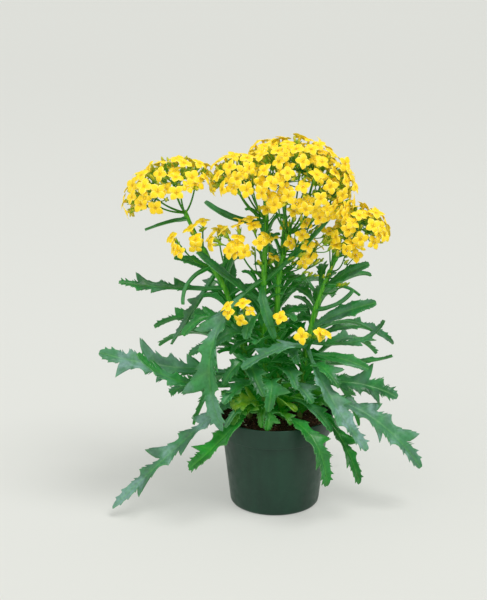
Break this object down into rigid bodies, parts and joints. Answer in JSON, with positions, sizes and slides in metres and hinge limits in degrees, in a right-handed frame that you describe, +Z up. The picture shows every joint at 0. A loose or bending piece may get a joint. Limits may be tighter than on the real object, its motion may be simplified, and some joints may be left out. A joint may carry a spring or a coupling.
{
  "type": "potted kalanchoe",
  "caption": "Flowering kalanchoe with cut, toothed leaves and domed heads of small yellow cross-shaped blooms, standing in a round tapered plastic nursery pot.",
  "frame": {"origin": "middle of the pot's flat underside, where it meets the surface that it stands on", "axes": "+Z up along the pot's axis; -Y is the side that the picture shows; +X is to the right seen from that side"},
  "size_m": [0.3241, 0.2284, 0.3844],
  "materials": {
    "pot": "injection-moulded polypropylene, dark green, satin",
    "soil": "moist peat potting mix with bark bits and perlite, fully rough",
    "foliage": "fleshy succulent leaf and stem with a waxy blue-grey bloom on the older leaves",
    "petals": "thin soft petals, golden yellow, satin"
  },
  "bodies": {
    "root": {"crown_cyme_1": "petals", "crown_cyme_10": "petals", "crown_cyme_11": "petals", "crown_cyme_2": "petals", "crown_cyme_3": "petals", "crown_cyme_4": "petals", "crown_cyme_5": "petals", "crown_cyme_6": "petals", "crown_cyme_7": "petals", "crown_cyme_8": "petals", "crown_cyme_9": "petals", "inner_spray_left": "petals", "inner_spray_right": "petals", "leafy_stem_back": "foliage", "leafy_stem_back_left": "foliage", "leafy_stem_back_right": "foliage", "leafy_stem_centre": "foliage", "leafy_stem_left": "foliage", "leafy_stem_middle": "foliage", "leafy_stem_right": "foliage", "left_head_cyme_1": "petals", "left_head_cyme_2": "petals", "left_head_cyme_3": "petals", "left_head_cyme_4": "petals", "left_head_cyme_5": "petals", "left_head_cyme_6": "petals", "left_head_cyme_7": "petals", "left_spray_high": "petals", "left_spray_low": "petals", "left_spray_middle": "petals", "left_wing_cyme_1": "petals", "left_wing_cyme_2": "petals", "left_wing_cyme_3": "petals", "left_wing_cyme_4": "petals", "left_wing_cyme_5": "petals", "low_spray_left": "petals", "low_spray_middle": "petals", "low_spray_right": "petals", "pot": "pot", "rear_crown_cyme_1": "petals", "rear_crown_cyme_2": "petals", "rear_crown_cyme_3": "petals", "rear_crown_cyme_4": "petals", "rear_spray_left": "petals", "rear_spray_right": "petals", "right_head_cyme_1": "petals", "right_head_cyme_2": "petals", "right_head_cyme_3": "petals", "right_head_cyme_4": "petals", "right_head_cyme_5": "petals", "skirt_spray": "petals", "soil": "soil"}
  },
  "joints": []
}
